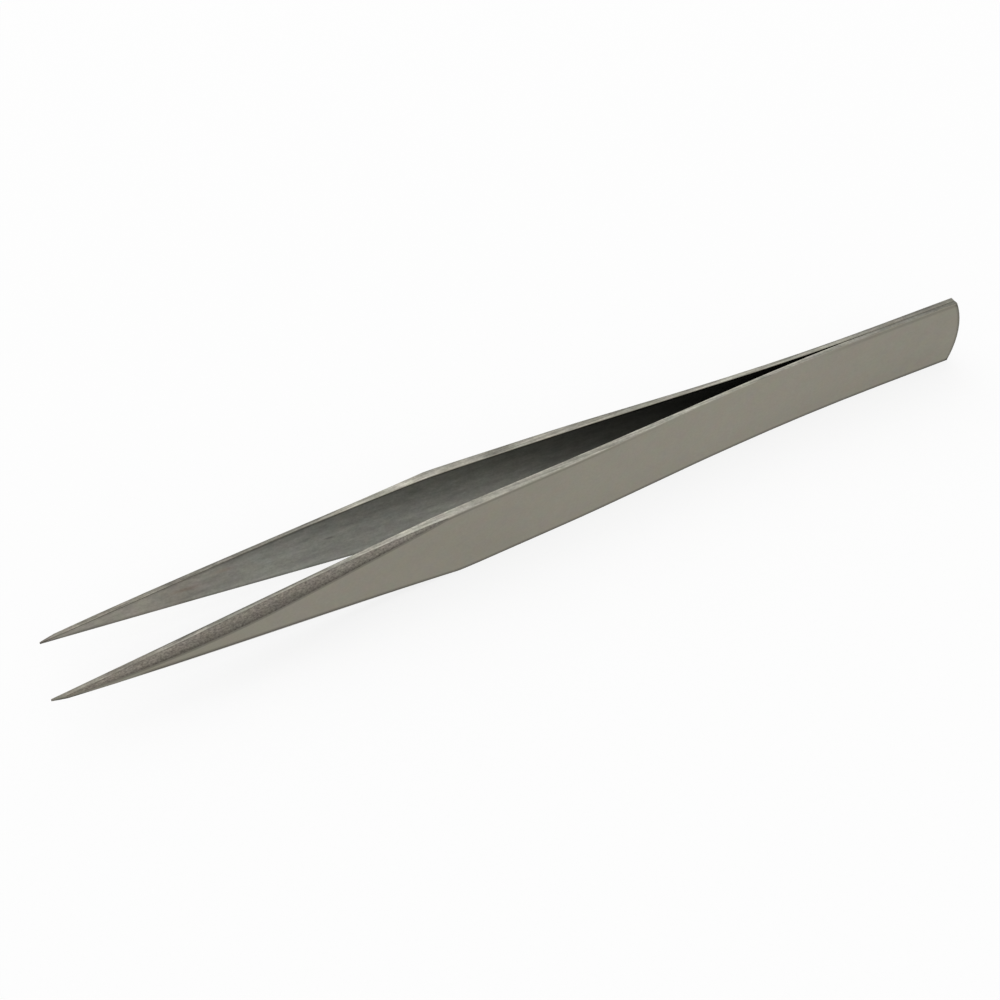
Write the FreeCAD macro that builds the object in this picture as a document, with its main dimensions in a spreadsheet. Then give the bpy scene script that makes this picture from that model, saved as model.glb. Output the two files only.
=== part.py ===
import FreeCAD, Part
import math
import os
import Sketcher
from FreeCAD import Vector

# Fine-point tweezers: two steel legs, mirror images of each other, welded face to face at the heel.
# They lie on their long edges. The tips point along -X, the heel along +X, and the legs spring apart along Y.
# The origin is on the table under the middle of the part.

SIZES = {
    "overall_length": 125.0,      # tip to heel
    "leg_width": 9.9,             # height of a leg above the table, from the shoulder to the heel
    "weld_length": 12.5,          # flat stretch at the heel where the legs are joined
    "root_radius": 317.0,         # past the weld each leg bends away from the other
    "splay_angle": 3.99,          # slope at the end of that bend, in degrees
    "spring_run": 9.1,            # straight stretch at that slope
    "bend_radius": 1176.0,        # long bend back, up to the straight end
    "tip_angle": 0.93,            # slope of the straight end, in degrees
    "spring_thickness": 0.7,
    "thin_run": 5.14,             # thin stretch past that first bend, before the steel grows thicker
    "ramp_length": 16.8,          # from the thin spring up to the grip
    "grip_thickness": 1.09,
    "taper_length": 50.4,         # tip to shoulder, where the width starts to fall
    "shoulder_thickness": 1.23,
    "body_length": 29.1,          # tip to the thickest place
    "body_thickness": 1.53,
    "nose_length": 4.0,           # tip to where the outer face starts to round off
    "nose_thickness": 0.88,
    "tip_thickness": 0.3,
    "blend_radius": 250.0,        # blends between the ground stretches of the outer face
    "tip_width": 0.15,
    "needle_length": 20.0,        # straight part of the taper, next to the tip
    "needle_width": 4.38,         # width of the leg at the end of it
    "taper_radius": 650.0,        # from there the edges curve up to the shoulder
    "shoulder_radius": 80.0,      # rounds the corner of the outline there
    "heel_radius": 12.3,          # rounded end of the heel
    "bevel_angle": 52.5,          # the ground outer corners lean this far from the thickness, in degrees
    "bevel_reach": 39.1,          # tip to where the bevel has its full width
    "edge_flat": 0.65,            # flat that the bevel leaves beside the inner face
    "tip_flat": 0.5,              # the same flat at the tip
    "edge_break": 0.06,           # small flat that takes the sharpness off the long edges
    "tool_overrun": 4.0,          # how far the bevel cut runs out past the shoulder
    "tool_margin": 0.6,           # and how far each cut stands clear of the leg elsewhere
}

START, END, CENTRE = 1, 2, 3
X_AXIS = -1
UP = Vector(0, 0, 1)

# Places along X, as expressions of the sheet.
TIP = "-Sizes.overall_length / 2"
HEEL = "Sizes.overall_length / 2"
ROOT = f"{HEEL} - Sizes.weld_length - Sizes.root_radius * sin(Sizes.splay_angle * 1 deg)"
SPRING_END = f"{ROOT} - Sizes.thin_run"
GRIP = f"{SPRING_END} - Sizes.ramp_length"
SHOULDER = f"{TIP} + Sizes.taper_length"
BODY = f"{TIP} + Sizes.body_length"
NOSE = f"{TIP} + Sizes.nose_length"
NEEDLE = f"{TIP} + Sizes.needle_length"
BEVEL_START = f"{TIP} - Sizes.tool_margin"
BEVEL_FULL = f"{TIP} + Sizes.bevel_reach"
BEVEL_END = f"{SHOULDER} + Sizes.tool_overrun"


def make_sheet(doc):
    """The driving dimensions, each with its name as alias."""
    sheet = doc.addObject("Spreadsheet::Sheet", "Sizes")
    for row, (name, value) in enumerate(SIZES.items(), start=1):
        sheet.set(f"A{row}", name)
        sheet.set(f"B{row}", str(value))
        sheet.setAlias(f"B{row}", name)
    doc.recompute()
    return sheet


def new_sketch(body, name, plane):
    """A sketch on one of the body's own planes."""
    sketch = body.newObject("Sketcher::SketchObject", name)
    support = [f for f in body.Origin.OriginFeatures if f.Role == plane][0]
    sketch.AttachmentSupport = (support, "")
    sketch.MapMode = "FlatFace"
    return sketch


def constrain(sketch, kind, *where):
    sketch.addConstraint(Sketcher.Constraint(kind, *where))


def dimension(sketch, name, expression, kind, *where):
    """A named dimension. Its expression drives the sketch; with None it only measures."""
    index = sketch.addConstraint(Sketcher.Constraint(kind, *where))
    sketch.renameConstraint(index, name)
    if expression is None:
        sketch.setDriving(index, False)
    else:
        sketch.setExpression(f"Constraints.{name}", expression)


def upright(sketch, name, at, foot, top, height, foot_curve, top_curve=None):
    """An upright construction line at a place along X, whose named height is driven or measured."""
    index = sketch.addGeometry(Part.LineSegment(foot, top), True)
    constrain(sketch, "Vertical", index)
    constrain(sketch, "PointOnObject", index, START, foot_curve)
    if top_curve is not None:
        constrain(sketch, "PointOnObject", index, END, top_curve)
    dimension(sketch, f"{name}_at", at, "DistanceX", index, START, foot.x)
    dimension(sketch, name, height, "DistanceY", index, START, index, END, top.y - foot.y)
    return index


def round_corner(sketch, name, expression, radius, line):
    """An arc in place of the corner at a line's start. The corner stays as a construction point."""
    rounding = sketch.GeometryCount
    sketch.fillet(line, START, radius, True, True)
    dimension(sketch, name, expression, "Radius", rounding, radius)


def arc(centre, start, end):
    """The arc that turns left about a centre, from one point to another."""
    angles = [math.atan2(p.y - centre.y, p.x - centre.x) for p in (start, end)]
    return Part.ArcOfCircle(Part.Circle(centre, UP, (start - centre).Length), *angles)


def arc_onward(start, heading, end):
    """The arc that leaves a point along a heading, turns left and reaches another point."""
    left = Vector(-heading.y, heading.x, 0).normalize()
    chord = end - start
    return arc(start + left * (chord.Length ** 2 / (2 * chord.dot(left))), start, end)


def draw_plan(body, sizes):
    """A leg from above: the bent inner face, and the outer face at the thickness that grows and falls."""
    tip, heel = -sizes.overall_length / 2, sizes.overall_length / 2
    splay, slope = math.radians(sizes.splay_angle), math.radians(sizes.tip_angle)
    along_splay = Vector(math.sin(splay), math.cos(splay), 0)
    along_slope = Vector(math.sin(slope), math.cos(slope), 0)
    lift = Vector(0, sizes.spring_thickness, 0)

    heel_inner = Vector(heel, 0, 0)
    weld_inner = Vector(heel - sizes.weld_length, 0, 0)
    root_centre = weld_inner + Vector(0, sizes.root_radius, 0)
    root_inner = root_centre - along_splay * sizes.root_radius
    spring_inner = root_inner + Vector(-math.cos(splay), math.sin(splay), 0) * sizes.spring_run
    bend_centre = spring_inner - along_splay * sizes.bend_radius
    bend_inner = bend_centre + along_slope * sizes.bend_radius
    tip_inner = Vector(tip, bend_inner.y + (bend_inner.x - tip) * math.tan(slope), 0)

    def inner(x):
        if x < bend_inner.x:
            return Vector(x, bend_inner.y + (bend_inner.x - x) * math.tan(slope), 0)
        if x > spring_inner.x:
            return Vector(x, spring_inner.y - (x - spring_inner.x) * math.tan(splay), 0)
        return Vector(x, bend_centre.y + math.sqrt(sizes.bend_radius ** 2 - (x - bend_centre.x) ** 2), 0)

    def outer(x, thickness):
        return inner(x) + Vector(0, thickness, 0)

    root_outer = root_inner + along_splay * sizes.spring_thickness
    spring_outer = outer(root_inner.x - sizes.thin_run, sizes.spring_thickness / math.cos(splay))
    grip_outer = outer(spring_outer.x - sizes.ramp_length, sizes.grip_thickness)
    shoulder_outer = outer(tip + sizes.taper_length, sizes.shoulder_thickness)
    body_outer = outer(tip + sizes.body_length, sizes.body_thickness)
    nose_outer = outer(tip + sizes.nose_length, sizes.nose_thickness)
    tip_outer = tip_inner + Vector(0, sizes.tip_thickness, 0)
    nose_arc = arc_onward(body_outer, body_outer - shoulder_outer, nose_outer)
    at_nose = nose_outer - nose_arc.Center

    sketch = new_sketch(body, "plan", "XY_Plane")
    outline = [
        Part.LineSegment(heel_inner, weld_inner),
        arc(root_centre, root_inner, weld_inner),
        Part.LineSegment(root_inner, spring_inner),
        arc(bend_centre, spring_inner, bend_inner),
        Part.LineSegment(bend_inner, tip_inner),
        Part.LineSegment(tip_inner, tip_outer),
        arc_onward(nose_outer, Vector(-at_nose.y, at_nose.x, 0), tip_outer),
        nose_arc,
        Part.LineSegment(body_outer, shoulder_outer),
        Part.LineSegment(shoulder_outer, grip_outer),
        Part.LineSegment(grip_outer, spring_outer),
        Part.LineSegment(spring_outer, root_outer),
        arc(root_centre, root_outer, weld_inner + lift),
        Part.LineSegment(weld_inner + lift, heel_inner + lift),
        Part.LineSegment(heel_inner + lift, heel_inner),
    ]
    (weld_face, root_face, spring_face, bend_face, end_face, tip_end, tip_round, nose_round, body_back,
     grip_back, ramp_back, spring_back, root_back, weld_back, heel_end) = range(len(outline))
    sketch.addGeometry(outline, False)

    constrain(sketch, "PointOnObject", weld_face, START, X_AXIS)
    constrain(sketch, "Horizontal", weld_face)
    constrain(sketch, "Tangent", weld_face, END, root_face, END)
    constrain(sketch, "Tangent", root_face, START, spring_face, START)
    constrain(sketch, "Tangent", spring_face, END, bend_face, START)
    constrain(sketch, "Tangent", bend_face, END, end_face, START)
    constrain(sketch, "Coincident", end_face, END, tip_end, START)
    constrain(sketch, "Vertical", tip_end)
    constrain(sketch, "Coincident", tip_end, END, tip_round, END)
    constrain(sketch, "Tangent", tip_round, START, nose_round, END)
    constrain(sketch, "Tangent", nose_round, START, body_back, START)
    constrain(sketch, "Coincident", body_back, END, grip_back, START)
    constrain(sketch, "Coincident", grip_back, END, ramp_back, START)
    constrain(sketch, "Coincident", ramp_back, END, spring_back, START)
    constrain(sketch, "Tangent", spring_back, END, root_back, START)
    constrain(sketch, "Parallel", spring_back, spring_face)
    constrain(sketch, "Coincident", root_back, CENTRE, root_face, CENTRE)
    constrain(sketch, "Tangent", root_back, END, weld_back, START)
    constrain(sketch, "Coincident", weld_back, END, heel_end, START)
    constrain(sketch, "Coincident", heel_end, END, weld_face, START)
    constrain(sketch, "Vertical", heel_end)

    dimension(sketch, "heel_at", HEEL, "DistanceX", weld_face, START, heel)
    dimension(sketch, "tip_at", TIP, "DistanceX", end_face, END, tip)
    dimension(sketch, "weld_length", "Sizes.weld_length", "DistanceX", weld_face, END, weld_face, START,
              sizes.weld_length)
    dimension(sketch, "root_radius", "Sizes.root_radius", "Radius", root_face, sizes.root_radius)
    dimension(sketch, "spring_run", "Sizes.spring_run", "Distance", spring_face, sizes.spring_run)
    dimension(sketch, "bend_radius", "Sizes.bend_radius", "Radius", bend_face, sizes.bend_radius)
    dimension(sketch, "splay", "Sizes.splay_angle * 1 deg", "Angle", root_face, splay)
    dimension(sketch, "turn_back", "(Sizes.splay_angle - Sizes.tip_angle) * 1 deg", "Angle", bend_face,
              splay - slope)
    dimension(sketch, "heel_thickness", "Sizes.spring_thickness", "DistanceY", heel_end, END, heel_end, START,
              sizes.spring_thickness)
    dimension(sketch, "tip_thickness", "Sizes.tip_thickness", "DistanceY", tip_end, START, tip_end, END,
              sizes.tip_thickness)
    dimension(sketch, "spring_end_at", SPRING_END, "DistanceX", ramp_back, END, spring_outer.x)

    for name, at, top, foot_curve, corner in (
        ("grip_thickness", GRIP, grip_outer, bend_face, (ramp_back, START)),
        ("shoulder_thickness", SHOULDER, shoulder_outer, bend_face, (grip_back, START)),
        ("body_thickness", BODY, body_outer, bend_face, (body_back, START)),
        ("nose_thickness", NOSE, nose_outer, end_face, (nose_round, END)),
    ):
        upright_line = upright(sketch, name, at, inner(top.x), top, f"Sizes.{name}", foot_curve)
        constrain(sketch, "Coincident", upright_line, END, *corner)

    for name, at, x, curve in (
        ("gap_before_tip", BEVEL_START, tip - sizes.tool_margin, end_face),
        ("gap_at_needle", NEEDLE, tip + sizes.needle_length, bend_face),
        ("gap_at_full", BEVEL_FULL, tip + sizes.bevel_reach, bend_face),
        ("gap_at_shoulder", SHOULDER, shoulder_outer.x, bend_face),
    ):
        upright(sketch, name, at, Vector(x, 0, 0), inner(x), None, X_AXIS, curve)

    for name, line in (("shoulder", grip_back), ("grip", ramp_back), ("spring", spring_back)):
        round_corner(sketch, f"{name}_blend", "Sizes.blend_radius", sizes.blend_radius, line)
    return sketch


def draw_side(body, sizes):
    """The waste above a leg, from the side: over the long taper, the parallel edge and the rounded heel."""
    tip, heel = -sizes.overall_length / 2, sizes.overall_length / 2
    left, right = tip - sizes.tool_margin, heel + sizes.tool_margin
    half = sizes.leg_width / 2
    high = half + sizes.tool_margin
    rise = (sizes.needle_width - sizes.tip_width) / (2 * sizes.needle_length)
    before_tip = Vector(left, sizes.tip_width / 2 - sizes.tool_margin * rise, 0)
    needle = Vector(tip + sizes.needle_length, sizes.needle_width / 2, 0)
    shoulder = Vector(tip + sizes.taper_length, half, 0)
    chord = shoulder - needle
    inward = Vector(chord.y, -chord.x, 0).normalize()
    taper_centre = needle + chord / 2 + inward * math.sqrt(sizes.taper_radius ** 2 - (chord.Length / 2) ** 2)
    full_x = tip + sizes.bevel_reach
    full_height = taper_centre.y + math.sqrt(sizes.taper_radius ** 2 - (full_x - taper_centre.x) ** 2)
    round_y = half - sizes.shoulder_radius
    round_run = math.sqrt((sizes.taper_radius - sizes.shoulder_radius) ** 2 - (round_y - taper_centre.y) ** 2)
    round_centre = Vector(taper_centre.x - round_run, round_y, 0)
    round_end = Vector(round_centre.x, half, 0)
    taper_end = taper_centre + (round_centre - taper_centre).normalize() * sizes.taper_radius
    heel_centre = Vector(heel - sizes.heel_radius, 0, 0)
    heel_top = heel_centre + Vector(math.sqrt(sizes.heel_radius ** 2 - half ** 2), half, 0)

    sketch = new_sketch(body, "side", "XZ_Plane")
    outline = [
        Part.LineSegment(before_tip, needle),
        arc(taper_centre, taper_end, needle),
        arc(round_centre, round_end, taper_end),
        Part.LineSegment(round_end, heel_top),
        arc(heel_centre, Vector(heel, 0, 0), heel_top),
        Part.LineSegment(Vector(heel, 0, 0), Vector(right, 0, 0)),
        Part.LineSegment(Vector(right, 0, 0), Vector(right, high, 0)),
        Part.LineSegment(Vector(right, high, 0), Vector(left, high, 0)),
        Part.LineSegment(Vector(left, high, 0), before_tip),
    ]
    (needle_edge, taper, shoulder_round, top_edge, heel_round, foot, right_side, over,
     left_side) = range(len(outline))
    sketch.addGeometry(outline, False)
    corner = sketch.addGeometry(Part.Point(shoulder), True)

    constrain(sketch, "Coincident", needle_edge, END, taper, END)
    constrain(sketch, "Tangent", taper, START, shoulder_round, END)
    constrain(sketch, "Tangent", shoulder_round, START, top_edge, START)
    constrain(sketch, "PointOnObject", corner, START, taper)
    constrain(sketch, "PointOnObject", corner, START, top_edge)
    constrain(sketch, "Horizontal", top_edge)
    constrain(sketch, "Coincident", top_edge, END, heel_round, END)
    constrain(sketch, "PointOnObject", heel_round, CENTRE, X_AXIS)
    constrain(sketch, "PointOnObject", heel_round, START, X_AXIS)
    constrain(sketch, "Coincident", heel_round, START, foot, START)
    constrain(sketch, "Horizontal", foot)
    constrain(sketch, "Coincident", foot, END, right_side, START)
    constrain(sketch, "Vertical", right_side)
    constrain(sketch, "Coincident", right_side, END, over, START)
    constrain(sketch, "Horizontal", over)
    constrain(sketch, "Coincident", over, END, left_side, START)
    constrain(sketch, "Vertical", left_side)
    constrain(sketch, "Coincident", left_side, END, needle_edge, START)

    upright(sketch, "tip_half", TIP, Vector(tip, 0, 0), Vector(tip, sizes.tip_width / 2, 0),
            "Sizes.tip_width / 2", X_AXIS, needle_edge)
    dimension(sketch, "needle_at", NEEDLE, "DistanceX", needle_edge, END, needle.x)
    dimension(sketch, "needle_half", "Sizes.needle_width / 2", "DistanceY", needle_edge, END, needle.y)
    dimension(sketch, "taper_radius", "Sizes.taper_radius", "Radius", taper, sizes.taper_radius)
    dimension(sketch, "shoulder_at", SHOULDER, "DistanceX", corner, START, shoulder.x)
    dimension(sketch, "shoulder_radius", "Sizes.shoulder_radius", "Radius", shoulder_round,
              sizes.shoulder_radius)
    dimension(sketch, "leg_half", "Sizes.leg_width / 2", "DistanceY", top_edge, END, half)
    dimension(sketch, "heel_radius", "Sizes.heel_radius", "Radius", heel_round, sizes.heel_radius)
    dimension(sketch, "heel_centre_at", f"{HEEL} - Sizes.heel_radius", "DistanceX", heel_round, CENTRE,
              heel_centre.x)
    dimension(sketch, "left_at", BEVEL_START, "DistanceX", over, END, left)
    dimension(sketch, "right_at", f"{HEEL} + Sizes.tool_margin", "DistanceX", over, START, right)
    dimension(sketch, "high", "Sizes.leg_width / 2 + Sizes.tool_margin", "DistanceY", over, START, high)

    dimension(sketch, "half_before_tip", None, "DistanceY", needle_edge, START, before_tip.y)
    upright(sketch, "half_at_full", BEVEL_FULL, Vector(full_x, 0, 0), Vector(full_x, full_height, 0), None,
            X_AXIS, taper)
    return sketch


def draw_bevel_section(body, sizes, name, at, across, up):
    """The wedge that the grinding takes off the outer top corner at one place along the leg."""
    reach = sizes.body_thickness + sizes.tool_margin
    lean = math.radians(sizes.bevel_angle)
    sketch = new_sketch(body, name, "YZ_Plane")
    sketch.setExpression("AttachmentOffset.Base.z", at)
    high = Vector(-sizes.tool_margin, sizes.tool_margin * math.tan(lean), 0)
    low = Vector(reach, -reach * math.tan(lean), 0)
    corner = Vector(reach, high.y, 0)
    sketch.addGeometry([Part.LineSegment(high, low), Part.LineSegment(low, corner),
                        Part.LineSegment(corner, high)], False)
    cut, outside, over = range(3)
    edge = sketch.addGeometry(Part.Point(Vector(0, 0, 0)), True)
    constrain(sketch, "Coincident", cut, END, outside, START)
    constrain(sketch, "Coincident", outside, END, over, START)
    constrain(sketch, "Coincident", over, END, cut, START)
    constrain(sketch, "Vertical", outside)
    constrain(sketch, "Horizontal", over)
    constrain(sketch, "PointOnObject", edge, START, cut)
    dimension(sketch, "lean", "-Sizes.bevel_angle * 1 deg", "Angle", cut, -lean)
    dimension(sketch, "margin", "Sizes.tool_margin", "DistanceX", cut, START, edge, START, sizes.tool_margin)
    dimension(sketch, "reach", "Sizes.body_thickness + Sizes.tool_margin", "DistanceX", edge, START, cut, END,
              reach)
    dimension(sketch, "across", across, "DistanceX", edge, START, 0)
    dimension(sketch, "up", up, "DistanceY", edge, START, 0)
    return sketch


def mirror_down(body, name, feature):
    """The same cut on the lower half of the leg."""
    mirrored = body.newObject("PartDesign::Mirrored", name)
    mirrored.Originals = [feature]
    middle = [f for f in body.Origin.OriginFeatures if f.Role == "XY_Plane"][0]
    mirrored.MirrorPlane = (middle, [""])
    body.Tip = mirrored
    return mirrored


def break_edges(body, sizes, blank):
    """The edges that run along the leg are broken before the bevels are ground."""
    along = [f"Edge{number}" for number, edge in enumerate(blank.Shape.Edges, start=1)
             if abs(edge.Vertexes[0].X - edge.Vertexes[-1].X) > sizes.tool_margin]
    broken = body.newObject("PartDesign::Chamfer", "broken_edges")
    broken.Base = (blank, along)
    broken.setExpression("Size", "Sizes.edge_break")
    body.Tip = broken


def cut_bevels(body, sizes):
    """Both outer corners are ground away from the shoulder to the tip, down to a narrow flat each side."""
    full_run = "(Sizes.taper_length - Sizes.bevel_reach)"
    run = f"({full_run} + Sizes.tool_overrun) / {full_run}"
    full_across = "plan.Constraints.gap_at_full + Sizes.edge_flat * 1 mm"
    full_up = "side.Constraints.half_at_full"
    shoulder_across = "plan.Constraints.gap_at_shoulder + Sizes.shoulder_thickness * 1 mm"
    shoulder_up = "Sizes.leg_width / 2 * 1 mm"
    sections = [
        draw_bevel_section(body, sizes, "bevel_before_tip", BEVEL_START,
                           "plan.Constraints.gap_before_tip + Sizes.tip_flat * 1 mm",
                           "side.Constraints.half_before_tip"),
        draw_bevel_section(body, sizes, "bevel_at_needle", NEEDLE,
                           "plan.Constraints.gap_at_needle + Sizes.edge_flat * 1 mm",
                           "Sizes.needle_width / 2 * 1 mm"),
        draw_bevel_section(body, sizes, "bevel_at_full", BEVEL_FULL, full_across, full_up),
        draw_bevel_section(body, sizes, "bevel_runs_out", BEVEL_END,
                           f"{full_across} + ({shoulder_across} - ({full_across})) * {run}",
                           f"{full_up} + ({shoulder_up} - {full_up}) * {run}"),
    ]
    bevel = body.newObject("PartDesign::SubtractiveLoft", "bevel")
    bevel.Profile = sections[0]
    bevel.Sections = sections[1:]
    mirror_down(body, "other_bevel", bevel)


def make_leg(doc, sizes, name):
    """The strip is bent and thinned as the plan shows, blanked to its side outline and ground."""
    body = doc.addObject("PartDesign::Body", name)
    body.Label = name
    strip = body.newObject("PartDesign::Pad", "strip")
    strip.Profile = draw_plan(body, sizes)
    strip.SideType = "Symmetric"
    strip.setExpression("Length", "Sizes.leg_width")
    waste = body.newObject("PartDesign::Pocket", "waste")
    waste.Profile = draw_side(body, sizes)
    waste.SideType = "Symmetric"
    waste.Type = "ThroughAll"
    blank = mirror_down(body, "blank", waste)
    doc.recompute()
    break_edges(body, sizes, blank)
    doc.recompute()
    cut_bevels(body, sizes)
    doc.recompute()
    body.setExpression("Placement.Base.z", "Sizes.leg_width / 2")
    for made in (strip, blank, body):
        print(f"{name}, {made.Name}: {made.Shape.Volume:.2f} mm3")
    return body


def check(doc):
    """Stops if any object failed or has no valid shape."""
    for item in doc.Objects:
        if "Invalid" in item.State or "Error" in item.State:
            raise RuntimeError(f"{item.Name} failed: {item.State}")


def main():
    doc = FreeCAD.newDocument("tweezers")
    sizes = make_sheet(doc)
    right_leg = make_leg(doc, sizes, "right_leg")
    left_leg = doc.addObject("Part::Mirroring", "left_leg")
    left_leg.Label = "left_leg"
    left_leg.Source = right_leg
    left_leg.Normal = Vector(0, 1, 0)
    doc.recompute()
    check(doc)
    os.makedirs("parts", exist_ok=True)
    for leg in (left_leg, right_leg):
        if leg.Shape.isNull() or not leg.Shape.isValid():
            raise RuntimeError(f"{leg.Label} has no valid shape")
        leg.Shape.exportStep(f"parts/{leg.Label}.step")
        box = leg.Shape.optimalBoundingBox()
        print(leg.Label, f"X {box.XMin:.2f} {box.XMax:.2f}, Y {box.YMin:.2f} {box.YMax:.2f},",
              f"Z {box.ZMin:.2f} {box.ZMax:.2f}, {len(leg.Shape.Faces)} faces")


main()
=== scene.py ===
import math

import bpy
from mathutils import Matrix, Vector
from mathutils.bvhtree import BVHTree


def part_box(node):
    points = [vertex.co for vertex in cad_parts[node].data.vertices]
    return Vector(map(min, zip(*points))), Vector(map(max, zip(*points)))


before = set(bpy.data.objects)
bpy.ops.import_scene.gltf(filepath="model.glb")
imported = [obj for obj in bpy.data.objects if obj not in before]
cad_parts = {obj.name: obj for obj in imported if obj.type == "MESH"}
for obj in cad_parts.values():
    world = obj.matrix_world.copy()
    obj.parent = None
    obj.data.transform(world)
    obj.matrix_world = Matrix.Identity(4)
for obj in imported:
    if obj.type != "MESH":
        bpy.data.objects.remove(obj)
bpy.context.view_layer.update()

# %% [markdown]
# Fine-point steel tweezers
#
# The object is two strips of stainless steel that are mirror images of each other and are welded together at
# one end. Both strips come from the frame with their bends, tapers and ground corners, so no new mesh is made
# for them here. What this file adds is the metal itself: how each face was finished, how the light plays on
# it, and the table, lamp and camera that show it.

# %% [markdown]
# Units and colours
#
# The frame is in metres, but a toolmaker thinks in millimetres, so the patterns below are given in
# millimetres. Colours are picked as sRGB hex values, as on a screen. Blender mixes light in linear values,
# so one function turns the first into the second.

# %% Millimetres and colours
MM = 0.001


def linear(code):
    """A hex sRGB colour as linear red, green, blue and alpha, by the standard sRGB curve."""
    parts = [int(code[place:place + 2], 16) / 255 for place in (1, 3, 5)]
    return [part / 12.92 if part <= 0.04045 else ((part + 0.055) / 1.055) ** 2.4 for part in parts] + [1.0]


WHITE = linear("#FFFFFF")
print("mid grey, linear:", [round(part, 3) for part in linear("#808080")])

# %% [markdown]
# Adding nodes
#
# A material is a small graph. One function adds a node, sets its properties, and fills or links its inputs,
# so that every step below reads as one line for each node. Most inputs go by name. A Math node's inputs all
# have the same name, so they go by number, and so do a Mix node's, which has a pair for each kind of value.

# %% One function for nodes
FACTOR = 0                 # these are the sockets of a Mix node
NUMBER_A, NUMBER_B = 2, 3
VECTOR_A, VECTOR_B, VECTOR_OUT = 4, 5, 1
COLOUR_A, COLOUR_B, COLOUR_OUT = 6, 7, 2


def add_node(tree, kind, inputs=None, **settings):
    """Adds a node. An input that is given a socket is linked, and any other value is set."""
    node = tree.nodes.new(kind)
    for name, value in settings.items():
        setattr(node, name, value)
    for name, value in (inputs or {}).items():
        if isinstance(value, bpy.types.NodeSocket):
            tree.links.new(value, node.inputs[name])
        else:
            node.inputs[name].default_value = value
    return node


steel = bpy.data.materials.new("satin_stainless_steel")
steel.use_nodes = True
tree = steel.node_tree
tree.nodes.clear()
print("material:", steel.name)

# %% [markdown]
# Where a point lies
#
# The real faces were finished in different ways: the flat faces are satin, the long edges were run along a
# belt, and the outer corners near the tips were ground with a coarse wheel. One could cut the mesh into
# parts for this, but the frame's mesh stays as it is, so the material asks each point where it is and which
# way its face looks. The legs mirror each other about y = 0, so the sign of y turns "left or right" into
# "towards the gap" or "away from it".

# %% Place in millimetres and the way the face looks
place = add_node(tree, "ShaderNodeTexCoord").outputs["Object"]
spot = add_node(tree, "ShaderNodeVectorMath", {0: place, 1: (1 / MM,) * 3}, operation="MULTIPLY").outputs[0]
along, across, height = add_node(tree, "ShaderNodeSeparateXYZ", {0: spot}).outputs
flat_normal = add_node(tree, "ShaderNodeNewGeometry").outputs["True Normal"]
_, sideways, upward = add_node(tree, "ShaderNodeSeparateXYZ", {0: flat_normal}).outputs
leg_side = add_node(tree, "ShaderNodeMath", {0: across}, operation="SIGN").outputs[0]
outward = add_node(tree, "ShaderNodeMath", {0: sideways, 1: leg_side}, operation="MULTIPLY").outputs[0]
inward = add_node(tree, "ShaderNodeMath", {0: outward, 1: -1.0}, operation="MULTIPLY").outputs[0]
upright = add_node(tree, "ShaderNodeMath", {0: upward}, operation="ABSOLUTE").outputs[0]
far_leg = add_node(tree, "ShaderNodeMath", {0: across, 1: 0.0}, operation="GREATER_THAN").outputs[0]
print("nodes for place and direction:", len(tree.nodes))

# %% Masks for the faces
SQUARE = (0.86, 0.95)      # cosines of the turn from an axis, between which a face becomes square to it
LEANING = (0.715, 0.76)    # the ground corners look outward at 0.79, the broken edges only at 0.71
masks = {}
for name, value, (low, high) in (
    ("outer face", outward, SQUARE),
    ("inner face", inward, SQUARE),
    ("long edge", upright, SQUARE),
    ("leaning", outward, LEANING),
):
    masks[name] = add_node(tree, "ShaderNodeMapRange", {"Value": value, "From Min": low, "From Max": high},
                           interpolation_type="SMOOTHSTEP").outputs[0]
masks["ground corner"] = add_node(tree, "ShaderNodeMath", {0: masks.pop("leaning"), 1: masks["outer face"]},
                                  operation="SUBTRACT").outputs[0]
rest = 1.0
for mask in masks.values():
    rest = add_node(tree, "ShaderNodeMath", {0: rest, 1: mask}, operation="SUBTRACT").outputs[0]
masks["broken edge"] = rest
print("masks:", ", ".join(masks))

# %% [markdown]
# Worn edges
#
# No edge on a real tool is perfectly sharp: tumbling and handling round it a little, which is what catches
# the light. Modelling that would mean a new mesh. Blender's Bevel node instead gives a normal that turns
# smoothly round each edge, and half of that turn is mixed into the shading.

# %% Rounded normal
WEAR = 0.1                 # reach of the rounding beside an edge, in millimetres
ROUNDING = 0.5             # share of the turn that shading uses
turned = add_node(tree, "ShaderNodeBevel", {"Radius": WEAR * MM}, samples=4).outputs[0]
soft_normal = add_node(tree, "ShaderNodeMix", {FACTOR: ROUNDING, VECTOR_A: flat_normal, VECTOR_B: turned},
                       data_type="VECTOR").outputs[VECTOR_OUT]
soft_normal = add_node(tree, "ShaderNodeVectorMath", {0: soft_normal}, operation="NORMALIZE").outputs[0]
print("edges look worn over", WEAR, "mm")

# %% [markdown]
# A map of the leg
#
# Grinding marks and dirt keep to the borders of a face, so the material has to know how far a point is from
# each border. The leg bends and tapers, so that takes four measures of its section at each place along x:
# half of the gap between the legs, half of the leg's height, its thickness, and how deep the wheel cut into
# the outer corners. They could be copied from a drawing. Here rays meet the frame's own mesh, as the jaws of
# a caliper would, so that the map always agrees with the leg.

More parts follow.
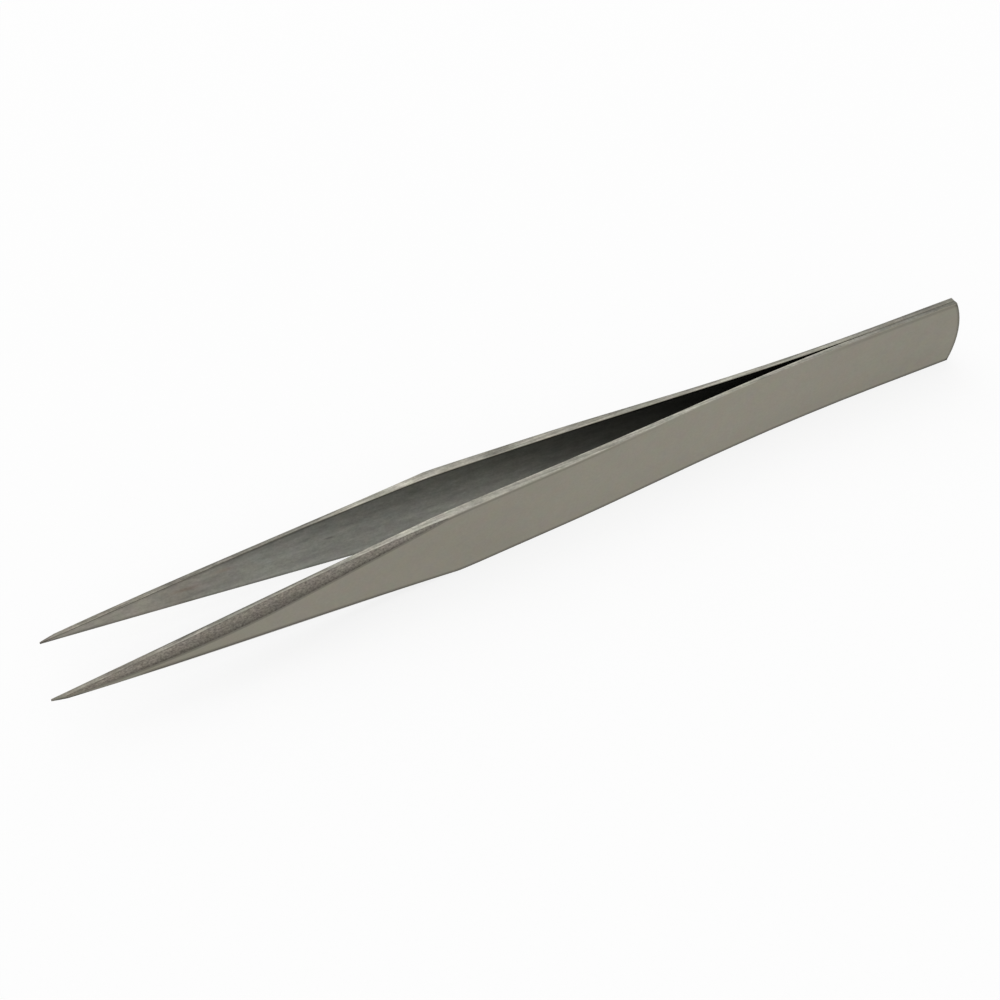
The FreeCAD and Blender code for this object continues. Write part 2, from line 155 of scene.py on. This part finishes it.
# %% The leg's ends and corners
(TIP_X, _, bottom_z), (HEEL_X, _, top_z) = (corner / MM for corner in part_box("left_leg"))
MIDDLE_Z = (bottom_z + top_z) / 2
HEEL_RADIUS = 12.3         # the heel ends in an arc of this radius, in millimetres
HEEL_CENTRE = (HEEL_X - HEEL_RADIUS, 0.0, MIDDLE_Z)
CORNER_ANGLE = 52.5        # degrees that a ground corner slopes down from the long edge
CORNER_DROP = math.tan(math.radians(CORNER_ANGLE))    # its drop for each millimetre outward
print("leg in mm: from", round(TIP_X, 2), "to", round(HEEL_X, 2), "with its middle at", round(MIDDLE_Z, 2))

# %% A caliper made of rays
AWAY = 20.0                # a ray starts this high above the table or this far to the side, in millimetres
NUDGE = 0.005              # keeps a ray off the edges of the mesh, in millimetres
BARE_SHARE = 0.3           # at this share of the thickness from the gap, no corner was ground away
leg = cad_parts["left_leg"].data
skin = BVHTree.FromPolygons([vertex.co / MM for vertex in leg.vertices],
                            [tuple(face.vertices) for face in leg.polygons])


def touch(start, towards):
    """The place where a ray first meets the left leg, in millimetres."""
    return skin.ray_cast(Vector(start), Vector(towards))[0]


def section(x):
    """Half gap, half height, thickness and ground depth of the leg at x. It lies where y is negative."""
    x += NUDGE
    outer = -touch((x, -AWAY, MIDDLE_Z + NUDGE), (0, 1, 0)).y
    inner = -touch((x, AWAY, MIDDLE_Z + NUDGE), (0, -1, 0)).y
    bare = inner + BARE_SHARE * (outer - inner)
    top = touch((x, -bare, AWAY), (0, 0, -1)).z
    corner = -touch((x, -AWAY, top - NUDGE), (0, 1, 0)).y
    return inner, top - MIDDLE_Z, outer - inner, outer - corner + NUDGE / CORNER_DROP


print("section at x = 0, mm:", [round(measure, 3) for measure in section(0.0)])

# %% [markdown]
# Curves that carry the map
#
# A material can't cast these rays itself, so each measure goes into a Float Curve over the leg's length. The
# sections stop at the centre of the heel's arc, because the two legs lie flat on each other from there on and
# nothing changes.

# %% Measures along the leg
STATION = 1.25             # millimetres from one section to the next
WIDEST = 5.0               # top of each curve's scale, in millimetres
MEASURED = ("half gap", "half height", "thickness", "ground depth")    # in the order that a section has
stations = [TIP_X + STATION * number for number in range(int((HEEL_CENTRE[0] - TIP_X) / STATION) + 1)]
sections = [section(x) for x in stations]
share_along = add_node(tree, "ShaderNodeMapRange", {"Value": along, "From Min": TIP_X,
                                                    "From Max": HEEL_X}).outputs[0]
shape = {}
for name, measured in zip(MEASURED, zip(*sections)):
    curve = add_node(tree, "ShaderNodeFloatCurve", {"Value": share_along}, label=name)
    points = curve.mapping.curves[0].points
    points[0].location = (0.0, measured[0] / WIDEST)
    points[1].location = (1.0, measured[-1] / WIDEST)      # the heel, like the last section
    for x, measure in zip(stations[1:], measured[1:]):
        points.new((x - TIP_X) / (HEEL_X - TIP_X), measure / WIDEST)
    for point in points:
        point.handle_type = "AUTO_CLAMPED"
    curve.mapping.update()
    shape[name] = add_node(tree, "ShaderNodeMath", {0: curve.outputs[0], 1: WIDEST},
                           operation="MULTIPLY").outputs[0]
    print(name, "in mm: from", round(min(measured), 3), "to", round(max(measured), 3))

# %% [markdown]
# Distances to the borders
#
# Sums of the curves and of a point's place give the distances. "Depth" is how far a point lies behind the
# inner face. The rim is the top or the bottom of the leg, the strip is what the wheel left of the long edge,
# and the foot of a ground corner is where it meets the outer face. The heel ends in an arc, so its border is
# a radius less the distance to the arc's centre.

# %% Distances in millimetres
measures = {"along": along, "outward": outward, "upward": upward, "leg": far_leg}
measures["above middle"] = add_node(tree, "ShaderNodeMath", {0: height, 1: MIDDLE_Z},
                                    operation="SUBTRACT").outputs[0]
from_gap = add_node(tree, "ShaderNodeMath", {0: across}, operation="ABSOLUTE").outputs[0]
from_middle = add_node(tree, "ShaderNodeMath", {0: measures["above middle"]}, operation="ABSOLUTE").outputs[0]
measures["depth"] = add_node(tree, "ShaderNodeMath", {0: from_gap, 1: shape["half gap"]},
                             operation="SUBTRACT").outputs[0]
measures["from rim"] = add_node(tree, "ShaderNodeMath", {0: shape["half height"], 1: from_middle},
                                operation="SUBTRACT").outputs[0]
measures["from corner foot"] = add_node(tree, "ShaderNodeMath", {0: shape["thickness"], 1: measures["depth"]},
                                        operation="SUBTRACT").outputs[0]
measures["from strip side"] = add_node(tree, "ShaderNodeMath", {0: measures["from corner foot"],
                                                                1: shape["ground depth"]},
                                       operation="SUBTRACT").outputs[0]
measures["past strip side"] = add_node(tree, "ShaderNodeMath", {0: measures["from strip side"], 1: -1.0},
                                       operation="MULTIPLY").outputs[0]
measures["from face border"] = add_node(tree, "ShaderNodeMath", {0: shape["ground depth"], 1: -CORNER_DROP,
                                                                 2: measures["from rim"]},
                                        operation="MULTIPLY_ADD").outputs[0]
on_side = add_node(tree, "ShaderNodeVectorMath", {0: spot, 1: (1.0, 0.0, 1.0)},
                   operation="MULTIPLY").outputs[0]
from_centre = add_node(tree, "ShaderNodeVectorMath", {0: on_side, 1: HEEL_CENTRE},
                       operation="DISTANCE").outputs["Value"]
measures["from heel arc"] = add_node(tree, "ShaderNodeMath", {0: HEEL_RADIUS, 1: from_centre},
                                     operation="SUBTRACT").outputs[0]
print("distances:", ", ".join(measures))

# %% [markdown]
# Patterns
#
# Pictures of metal would repeat and blur, so each pattern is a noise with a size in millimetres. The satin
# faces have a fine even grain. Belt grinding leaves lines that run the length of the leg, so that pattern is
# a noise stretched along x. The ground corners show the wheel's coarse grit. Slow clouds stand for the way
# that metal never takes a finish quite evenly. One pixel of the picture is about 0.13 mm, so what is finer
# than that on the real object is drawn coarser.

# %% Noise at real sizes
BREAKUP = 0.6              # how much each finer layer of a noise counts
patterns = {}
for name, stretch, size, detail in (       # stretch is how much longer than wide a mark is
    ("grain", 1.3, 0.28, 2.0),             # satin grain, really about 0.05 mm, drawn coarser to show
    ("mottle", 3.0, 0.7, 2.0),             # patches that the belt missed
    ("clouds", 1.0, 16.0, 2.0),            # slow changes, about as wide as a fingertip
    ("lines", 60.0, 0.3, 2.0),             # grinding lines, really about 0.1 mm wide, drawn coarser to show
    ("bands", 10.0, 2.2, 2.0),             # broad soft streaks on the inner faces
    ("grit", 1.6, 0.17, 2.5),              # marks of a coarse wheel, of 80 to 100 grit
):
    vector = add_node(tree, "ShaderNodeVectorMath", {0: spot, 1: (1 / stretch, 1.0, 1.0)},
                      operation="MULTIPLY").outputs[0]
    patterns[name] = add_node(tree, "ShaderNodeTexNoise", {"Vector": vector, "Scale": 1 / size,
                                                           "Detail": detail, "Roughness": BREAKUP}).outputs[0]
print("patterns:", ", ".join(patterns))

# %% [markdown]
# Borders and slow changes
#
# Each face has a thin dark line painted along its worn border. This is painted shade, standing for the darker
# room that the rounded border mirrors beside or under it. The long edges have a bright painted line there, a
# painted highlight where the rounded edge catches the lamp. Some lightness also changes slowly, and that is
# painted shade as well: the ground corners are darker low down, where they mirror the darker room, and the
# inner faces are darker towards the weld, where the gap narrows and each mirrors the other's shade.
# This could be painted by hand, but rows of numbers are easier to read and to change. Each face has its rows,
# and the last rows are for the whole leg. A row gives a strength, then one or more smooth steps as a measure
# that goes from a start to an end. A row with more than one step counts only where all of them do.

# %% Lightness beside the borders and along the leg, much of it painted shade and painted highlight
ON_FAR, ON_NEAR = ("leg", 0.0, 1.0), ("leg", 1.0, 0.0)
UPPER, LOWER = ("above middle", -0.1, 0.1), ("above middle", 0.1, -0.1)
CLEAR_OF_TIP = ("along", -54.0, -50.0)
ON_HEEL = ("along", 50.0, 52.0)
TOWARDS_GAP, DOWNWARD = ("outward", 0.0, -0.5), ("upward", 0.0, -0.5)
UNDER_TIP = ("above middle", 0.04, -0.1)
# Most rows below paint shade or highlight into the steel's colour: dark lines along the borders, light lines
# on the long edges, shade low on the ground corners, and shade towards the weld on the inner faces.
PAINTED_SHADE_AND_TONES = {
    "outer face": (        # painted shade along the borders and the heel's arc, where the worn edge mirrors the darker room, then slow changes
        (-0.26, ("from face border", 0.48, 0.3), LOWER, CLEAR_OF_TIP),
        (-0.35, ("from face border", 0.2, 0.1), LOWER, CLEAR_OF_TIP),
        (-0.2, ("from face border", 0.36, 0.2), UPPER, ("along", 22.0, 4.0)),
        (-0.10, ("from face border", 0.36, 0.2), UPPER, ("along", -8.0, -12.0)),
        (-0.18, ("from face border", 0.6, 0.3), UPPER, ("along", 38.0, 50.0)),
        (-0.16, ("from heel arc", 0.48, 0.38), ON_HEEL),
        (-0.24, ("from heel arc", 0.3, 0.2), ON_HEEL),
        (-0.05, ("along", 34.0, 60.0)),
        (-0.025, ("along", -8.0, -30.0)),
        (-0.04, ("along", -30.0, -46.0)),
        (-0.025, ("above middle", -0.6, -3.8)),
    ),
    "inner face": (        # painted shade at the borders, a light band above the lower one painted as the reflection of the paper in the gap, then painted shade towards the weld and painted light towards the tips
        (-0.26, ("from rim", 0.32, 0.14), UPPER, ("along", -46.0, -28.0)),
        (-0.2, ("from rim", 0.5, 0.26), UPPER, ("along", 4.0, 18.0)),
        (0.12, ("from rim", 1.3, 0.6), LOWER, ("along", -14.0, -24.0)),
        (-0.24, ("from rim", 0.5, 0.34), LOWER, ("along", -12.0, -28.0)),
        (-0.16, ("from rim", 0.4, 0.2)),
        (-0.36, ("along", -6.0, 16.0)),
        (0.05, ("along", -26.0, -34.0)),
        (0.24, ("along", -44.0, -52.0)),
    ),
    "ground corner": (     # painted shade: darker low down, at its foot and beside the strip, where it mirrors the darker room
        (-0.34, ("past strip side", 0.1, 0.75)),
        (-0.14, ("from corner foot", 0.2, 0.1)),
        (-0.12, ("from corner foot", 0.24, 0.1), ("along", -28.0, -14.0)),
        (-0.14, ("past strip side", 0.1, 0.04)),
    ),
    "long edge": (         # slow changes, a painted highlight beside the gap, then what differs between the legs, with painted shade and painted highlight beside the gap and the outer border
        (0.18, ("along", -8.0, -15.0)),
        (-0.26, ("along", -20.0, -29.0)),
        (0.06, ("along", -42.0, -52.0)),
        (0.07, ("along", 11.0, 16.0), ("along", 34.0, 24.0)),
        (-0.25, ("along", 28.0, 52.0)),
        (0.2, ("depth", 0.27, 0.15), ("along", -30.0, -22.0), ("along", 46.0, 40.0)),
        (-0.14, ("depth", 0.25, 0.1), ("along", 44.0, 48.0)),
        (-0.36, ON_NEAR, ("depth", 0.32, 0.18), ("along", -24.0, -30.0), ("along", -53.0, -46.0)),
        (-0.14, ON_NEAR, ("along", 44.0, 50.0)),
        (0.09, ON_NEAR, ("from strip side", 0.26, 0.14), ("along", 26.0, 10.0)),
        (-0.14, ON_FAR, ("from strip side", 0.3, 0.14)),
        (-0.10, ON_FAR, ("along", -22.0, -28.0)),
        (-0.12, ON_FAR, ("along", -34.0, -39.0), ("along", -48.0, -43.0)),
        (0.14, ON_FAR, ("along", -46.0, -52.0)),
        (-0.2, ON_FAR, ("along", 6.0, 12.0), ("along", 32.0, 20.0)),
    ),
    "broken edge": (       # painted shade where it looks into the gap or down and mirrors the shadow there
        (-0.7, ON_NEAR, TOWARDS_GAP),
        (-0.6, ON_FAR, TOWARDS_GAP, ("along", -22.0, -29.0)),
        (-0.6, DOWNWARD),
    ),
    "whole leg": (         # painted shade under the needle, and darker at the very tip
        (-0.26, ("above middle", 0.05, -0.3), ("along", -50.0, -57.0)),
        (-0.6, ON_NEAR, UNDER_TIP, ("along", -57.5, -59.5)),
        (-0.7, ON_FAR, UNDER_TIP, ("along", -59.5, -61.5)),
        (-0.3, ("along", -60.5, -62.0)),
        (0.12, ON_FAR, ("along", -54.0, -59.0)),
    ),
}
tone = 1.0
for where, rows in PAINTED_SHADE_AND_TONES.items():
    for strength, *steps in rows:
        amount = masks.get(where, 1.0)
        for measure, first, last in steps:
            step = add_node(tree, "ShaderNodeMapRange", {"Value": measures[measure], "From Min": first,
                                                         "From Max": last},
                            interpolation_type="SMOOTHSTEP").outputs[0]
            amount = add_node(tree, "ShaderNodeMath", {0: step, 1: amount}, operation="MULTIPLY").outputs[0]
        tone = add_node(tree, "ShaderNodeMath", {0: amount, 1: strength, 2: tone},
                        operation="MULTIPLY_ADD").outputs[0]
print("rows of lightness:", ", ".join(f"{where} {len(rows)}" for where, rows in PAINTED_SHADE_AND_TONES.items()))

# %% [markdown]
# Handling marks
#
# Fingers and cloths leave faint smears where nobody polishes, and the long edges have brighter and darker
# patches where they were rubbed. A noise would scatter such marks evenly, and the real ones are few, so each
# is a soft ellipse on one face of the far leg, given by its place, its length, width and lean. Some lighten
# or darken the steel, and others leave a thin brown film.

# %% Marks on the far leg
CORE = 0.1                 # share of a mark's half size within which it is full
MARKS = (                  # face, place in mm, half size in mm, lean in degrees, lightness, brown
    ("inner face", (-26.0, 5.4), (0.9, 0.25), 6.0, -0.34, 0.0),
    ("inner face", (-28.5, 6.5), (3.0, 0.4), -10.0, -0.12, 0.0),
    ("inner face", (-34.0, 5.9), (2.0, 0.4), 10.0, -0.12, 0.0),
    ("inner face", (-22.5, 6.4), (3.2, 0.3), 12.0, -0.09, 0.0),
    ("inner face", (-39.3, 6.2), (2.0, 0.5), 4.0, -0.04, 0.45),
    ("inner face", (-44.5, 5.3), (2.4, 0.5), 4.0, -0.08, 0.5),
    ("long edge", (-15.8, 9.9), (2.6, 1.5), 0.0, 0.3, 0.0),
    ("long edge", (-2.8, 9.9), (3.2, 1.5), 0.0, -0.36, 0.0),
)
film = 0.0
for where, (x, z), (long, wide), lean, light, brown in MARKS:
    local = add_node(tree, "ShaderNodeMapping", {"Vector": on_side, "Location": (x, 0.0, z),
                                                 "Rotation": (0.0, math.radians(lean), 0.0),
                                                 "Scale": (long, 1.0, wide)},
                     vector_type="TEXTURE").outputs[0]
    reach = add_node(tree, "ShaderNodeVectorMath", {0: local}, operation="LENGTH").outputs["Value"]
    smear = add_node(tree, "ShaderNodeMapRange", {"Value": reach, "From Min": 1.0, "From Max": CORE},
                     interpolation_type="SMOOTHSTEP").outputs[0]
    for mask in (far_leg, masks[where]):
        smear = add_node(tree, "ShaderNodeMath", {0: smear, 1: mask}, operation="MULTIPLY").outputs[0]
    tone = add_node(tree, "ShaderNodeMath", {0: smear, 1: light, 2: tone},
                    operation="MULTIPLY_ADD").outputs[0]
    film = add_node(tree, "ShaderNodeMath", {0: smear, 1: brown, 2: film},
                    operation="MULTIPLY_ADD").outputs[0]
DARKEST = 0.12             # lightness that is left where many rows meet
tone = add_node(tree, "ShaderNodeMath", {0: tone, 1: DARKEST}, operation="MAXIMUM").outputs[0]
print("marks:", len(MARKS))

# %% [markdown]
# Patterns on the lightness
#
# The lightness so far is smooth, and each pattern makes it swing. A factor suits this better than a sum,
# because a dark place then swings as much, for its lightness, as a light one. The noise has a mean of one
# half, so that is taken off first.

# %% Lightness from the patterns
NOISE_MEAN = 0.5
SWINGS = (                 # face, pattern, strength
    ("outer face", "grain", 0.16),
    ("outer face", "clouds", 0.10),
    ("inner face", "grain", 0.45),
    ("inner face", "mottle", 0.60),
    ("inner face", "bands", 0.62),
    ("inner face", "lines", 0.12),
    ("long edge", "lines", 1.6),
    ("long edge", "mottle", 0.9),
    ("long edge", "grain", 0.8),
    ("ground corner", "grit", 1.9),
    ("ground corner", "mottle", 0.3),
)
for where, pattern, strength in SWINGS:
    swing = add_node(tree, "ShaderNodeMath", {0: patterns[pattern], 1: NOISE_MEAN},
                     operation="SUBTRACT").outputs[0]
    swing = add_node(tree, "ShaderNodeMath", {0: swing, 1: masks[where]}, operation="MULTIPLY").outputs[0]
    swing = add_node(tree, "ShaderNodeMath", {0: swing, 1: strength, 2: 1.0},
                     operation="MULTIPLY_ADD").outputs[0]
    tone = add_node(tree, "ShaderNodeMath", {0: tone, 1: swing}, operation="MULTIPLY").outputs[0]
print("swings:", len(SWINGS))

# %% [markdown]
# The steel's colour
#
# Stainless steel is a slightly warm grey. The inner faces look a little cooler and darker than the satin
# outside, and the ground corners a little browner. A flat colour would look like plastic, so two things are
# laid over it. A thin brown film, as steel gets from heat and from old fingerprints, grows towards the tips.
# The oxide on steel is also never quite even, so a coloured noise turns the colour a very little from patch
# to patch.

# %% Colour and roughness of each finish
SATIN, SATIN_ROUGHNESS = "#8D897D", 0.34   # fine satin blurs what it mirrors into a broad sheen
FINISHES = (                               # where, colour, roughness
    ("inner face", "#7C7C75", 0.40),       # duller, because nobody polishes there
    ("long edge", "#828077", 0.30),        # the belt leaves it brightest
    ("ground corner", "#858077", 0.50),    # coarse grinding scatters the light most
)
colour, roughness = linear(SATIN), SATIN_ROUGHNESS
for where, code, rough in FINISHES:
    colour = add_node(tree, "ShaderNodeMix", {FACTOR: masks[where], COLOUR_A: colour, COLOUR_B: linear(code)},
                      data_type="RGBA").outputs[COLOUR_OUT]
    roughness = add_node(tree, "ShaderNodeMix", {FACTOR: masks[where], NUMBER_A: roughness,
                                                 NUMBER_B: rough}).outputs[0]
print("finishes:", "satin,", ", ".join(where for where, _, _ in FINISHES))

# %% Brown film towards the tips
FILM = "#FFEDE4"           # white steel would look like this under a full film
FILM_GROWTH = (            # face, x in mm where the film starts and where it is full, strength
    ("inner face", -33.0, -47.0, 0.4),
    ("long edge", -40.0, -54.0, 0.25),
    ("ground corner", -20.0, -34.0, 0.08),
    ("ground corner", -50.0, -60.0, 0.15),
)
for where, first, last, strength in FILM_GROWTH:
    step = add_node(tree, "ShaderNodeMapRange", {"Value": along, "From Min": first, "From Max": last},
                    interpolation_type="SMOOTHSTEP").outputs[0]
    step = add_node(tree, "ShaderNodeMath", {0: step, 1: masks[where]}, operation="MULTIPLY").outputs[0]
    film = add_node(tree, "ShaderNodeMath", {0: step, 1: strength, 2: film},
                    operation="MULTIPLY_ADD").outputs[0]
colour = add_node(tree, "ShaderNodeMix", {FACTOR: film, COLOUR_A: colour, COLOUR_B: linear(FILM)},
                  data_type="RGBA", blend_type="MULTIPLY").outputs[COLOUR_OUT]
print("film, linear:", [round(part, 3) for part in linear(FILM)])

# %% Uneven oxide
OXIDE_SIZE = 1.6           # millimetres across a patch
OXIDE_DEPTH = 0.10         # how far the colour of a patch departs
oxide = add_node(tree, "ShaderNodeTexNoise", {"Vector": spot, "Scale": 1 / OXIDE_SIZE,
                                              "Detail": 1.0}).outputs["Color"]
oxide = add_node(tree, "ShaderNodeVectorMath", {0: oxide, 1: (OXIDE_DEPTH,) * 3,
                                                2: (1 - NOISE_MEAN * OXIDE_DEPTH,) * 3},
                 operation="MULTIPLY_ADD").outputs[0]
colour = add_node(tree, "ShaderNodeVectorMath", {0: colour, 1: oxide}, operation="MULTIPLY").outputs[0]
colour = add_node(tree, "ShaderNodeVectorMath", {0: colour, "Scale": tone}, operation="SCALE").outputs[0]
print("oxide patches, mm:", OXIDE_SIZE)

# %% [markdown]
# Relief
#
# The same patterns stand a few thousandths of a millimetre high. Real geometry that fine would need millions
# of faces, so a Bump node turns the height into a tilt of the normal, on top of the rounded normal from the
# worn edges.

# %% Relief of the grain, the lines and the grit
RELIEF = 0.006             # height of a pattern at strength one, in millimetres
relief = 0.0
for where, pattern, strength in (
    ("outer face", "grain", 0.25),
    ("long edge", "lines", 1.0),
    ("inner face", "lines", 0.3),
    ("ground corner", "grit", 2.0),
):
    part = add_node(tree, "ShaderNodeMath", {0: patterns[pattern], 1: masks[where]},
                    operation="MULTIPLY").outputs[0]
    relief = add_node(tree, "ShaderNodeMath", {0: part, 1: strength, 2: relief},
                      operation="MULTIPLY_ADD").outputs[0]
bumped = add_node(tree, "ShaderNodeBump", {"Strength": 1.0, "Distance": RELIEF * MM, "Height": relief,
                                           "Normal": soft_normal}).outputs[0]
shader = add_node(tree, "ShaderNodeBsdfPrincipled", {"Base Color": colour, "Metallic": 1.0,
                                                     "Roughness": roughness, "Normal": bumped})
add_node(tree, "ShaderNodeOutputMaterial", {"Surface": shader.outputs[0]})
print("steel nodes:", len(tree.nodes))

# %% [markdown]
# Steel on both legs
#
# The real legs are blanks from one sheet, so both get the same material. It tells the near leg from the far
# one by itself, and one material for each leg would only repeat it.

# %% The same material on both legs
for name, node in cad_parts.items():
    if not node.material_slots:
        node.data.materials.append(None)
    for slot in node.material_slots:
        slot.material = steel
    print(name, "has", len(node.material_slots), "slot of", steel.name)

# %% [markdown]
# Table
#
# The tool lies on white paper. Metal shows what is around it, so the paper matters as much as the lamp does:
# the outer faces mirror it. Paper is matt, so it has no shine of its own. More light would turn it white too,
# but would also bleach the steel. So a share of plain white is mixed in for rays from the camera and from the
# metal, which keeps the paper white and leaves the shadow on it faint.

# %% White paper
TABLE_SIZE = 6.0           # metres
PAPER_DROP = 0.02 * MM     # just under the steel, so that the two surfaces never coincide
FIBRE = 0.6                # size of a clump of paper fibre, in millimetres
PULP_DARK, PULP_LIGHT = "#F4F4F4", "#F8F8F8"
SEEN_WHITE, MIRRORED_WHITE = 0.8, 0.85     # share of plain white that the camera and the metal see
bpy.ops.mesh.primitive_plane_add(size=TABLE_SIZE, location=(0, 0, -PAPER_DROP))
table = bpy.context.object
table.name = "table"
paper = bpy.data.materials.new("matt_white_paper")
paper.use_nodes = True
sheet = paper.node_tree
sheet.nodes.clear()
rays = add_node(sheet, "ShaderNodeLightPath").outputs
paper_place = add_node(sheet, "ShaderNodeTexCoord").outputs["Object"]
fibre = add_node(sheet, "ShaderNodeTexNoise", {"Vector": paper_place, "Scale": 1 / (FIBRE * MM)}).outputs[0]
pulp = add_node(sheet, "ShaderNodeMix", {FACTOR: fibre, COLOUR_A: linear(PULP_DARK),
                                         COLOUR_B: linear(PULP_LIGHT)}, data_type="RGBA").outputs[COLOUR_OUT]
seen = add_node(sheet, "ShaderNodeMath", {0: rays["Is Camera Ray"], 1: SEEN_WHITE},
                operation="MULTIPLY").outputs[0]
mirrored = add_node(sheet, "ShaderNodeMath", {0: rays["Is Glossy Ray"], 1: MIRRORED_WHITE},
                    operation="MULTIPLY").outputs[0]
share = add_node(sheet, "ShaderNodeMath", {0: seen, 1: mirrored}, operation="MAXIMUM").outputs[0]
matt = add_node(sheet, "ShaderNodeBsdfDiffuse", {"Color": pulp}).outputs[0]
white = add_node(sheet, "ShaderNodeEmission", {"Color": WHITE, "Strength": 1.0}).outputs[0]
both = add_node(sheet, "ShaderNodeMixShader", {0: share, 1: matt, 2: white}).outputs[0]
add_node(sheet, "ShaderNodeOutputMaterial", {"Surface": both})
table.data.materials.append(paper)
print("table:", TABLE_SIZE, "metres of", paper.name)

# %% [markdown]
# Room and lamp
#
# A room is dim near the horizon and brighter overhead. The world gives that as a ramp over height, and the
# camera and the metal see a plain white backdrop in its place. One large soft lamp hangs behind and above the
# tool, where the upward edges mirror it, so that they look lighter than the faces. A small lamp would leave
# hard glints and a hard shadow.

# %% Room light
HORIZON, CEILING = 0.45, 1.15      # strength of the room's light, at the horizon and overhead
BACKDROP = 1.0                     # a strength of 1 is plain white
world = bpy.data.worlds.new("studio")
bpy.context.scene.world = world
world.use_nodes = True
room = world.node_tree
room.nodes.clear()
direction = add_node(room, "ShaderNodeTexCoord").outputs["Generated"]
rise = add_node(room, "ShaderNodeSeparateXYZ", {0: direction}).outputs["Z"]
glow = add_node(room, "ShaderNodeMapRange", {"Value": rise, "To Min": HORIZON, "To Max": CEILING}).outputs[0]
room_rays = add_node(room, "ShaderNodeLightPath").outputs
on_show = add_node(room, "ShaderNodeMath", {0: room_rays["Is Camera Ray"], 1: room_rays["Is Glossy Ray"]},
                   operation="MAXIMUM").outputs[0]
glow = add_node(room, "ShaderNodeMix", {FACTOR: on_show, NUMBER_A: glow, NUMBER_B: BACKDROP}).outputs[0]
sky = add_node(room, "ShaderNodeBackground", {"Color": WHITE, "Strength": glow})
add_node(room, "ShaderNodeOutputWorld", {"Surface": sky.outputs[0]})
print("room light:", HORIZON, "to", CEILING)

# %% Soft lamp
LAMP_SIZE = (1.1, 0.8)     # metres
LAMP_AWAY = 1.1            # metres from the tool
LAMP_TOWARDS = Vector((0.2, 0.66, 0.72)).normalized()
RADIANCE = 0.6             # how bright the lamp's face looks, where 1 is white
lamp = bpy.data.lights.new("softbox", "AREA")
lamp.shape = "RECTANGLE"
lamp.size, lamp.size_y = LAMP_SIZE
lamp.energy = RADIANCE * math.pi * LAMP_SIZE[0] * LAMP_SIZE[1]
softbox = bpy.data.objects.new("softbox", lamp)
softbox.location = LAMP_TOWARDS * LAMP_AWAY
softbox.rotation_mode = "QUATERNION"
softbox.rotation_quaternion = (-LAMP_TOWARDS).to_track_quat("-Z", "Y")
bpy.context.scene.collection.objects.link(softbox)
print("lamp energy, watts:", round(lamp.energy, 2))

# %% [markdown]
# Camera
#
# The camera looks along the leg from the front and above, slightly rolled, from about 16 cm, which is how a
# hand-held phone would take it. Its place could be typed in as x, y and z. It is given by where it looks,
# from which side, how steeply and how far away, because those can be changed one at a time.

# %% Camera
SENSOR = 36.0              # width of the sensor, in millimetres
PICTURE = 1000             # pixels across the picture
FOCAL = 1293.75            # focal length in pixels
AZIMUTH, ELEVATION, ROLL = (math.radians(degrees) for degrees in (-15.782, 46.598, -9.119))
DISTANCE = 162.603 * MM
TARGET = Vector((-4.5355, 0.0647, 4.7442)) * MM
NEAREST = 1 * MM           # nothing nearer to the lens than this is drawn
back = Vector((math.sin(AZIMUTH) * math.cos(ELEVATION), -math.cos(AZIMUTH) * math.cos(ELEVATION),
               math.sin(ELEVATION)))
lens = bpy.data.cameras.new("camera")
lens.sensor_width = SENSOR
lens.lens = FOCAL / PICTURE * SENSOR
lens.clip_start = NEAREST
camera = bpy.data.objects.new("camera", lens)
bpy.context.scene.collection.objects.link(camera)
camera.matrix_world = (Matrix.Translation(TARGET + back * DISTANCE)
                       @ (-back).to_track_quat("-Z", "Y").to_matrix().to_4x4()
                       @ Matrix.Rotation(ROLL, 4, "Z"))
bpy.context.scene.camera = camera
bpy.context.scene.view_settings.view_transform = "Standard"
print("lens, mm:", round(lens.lens, 2))
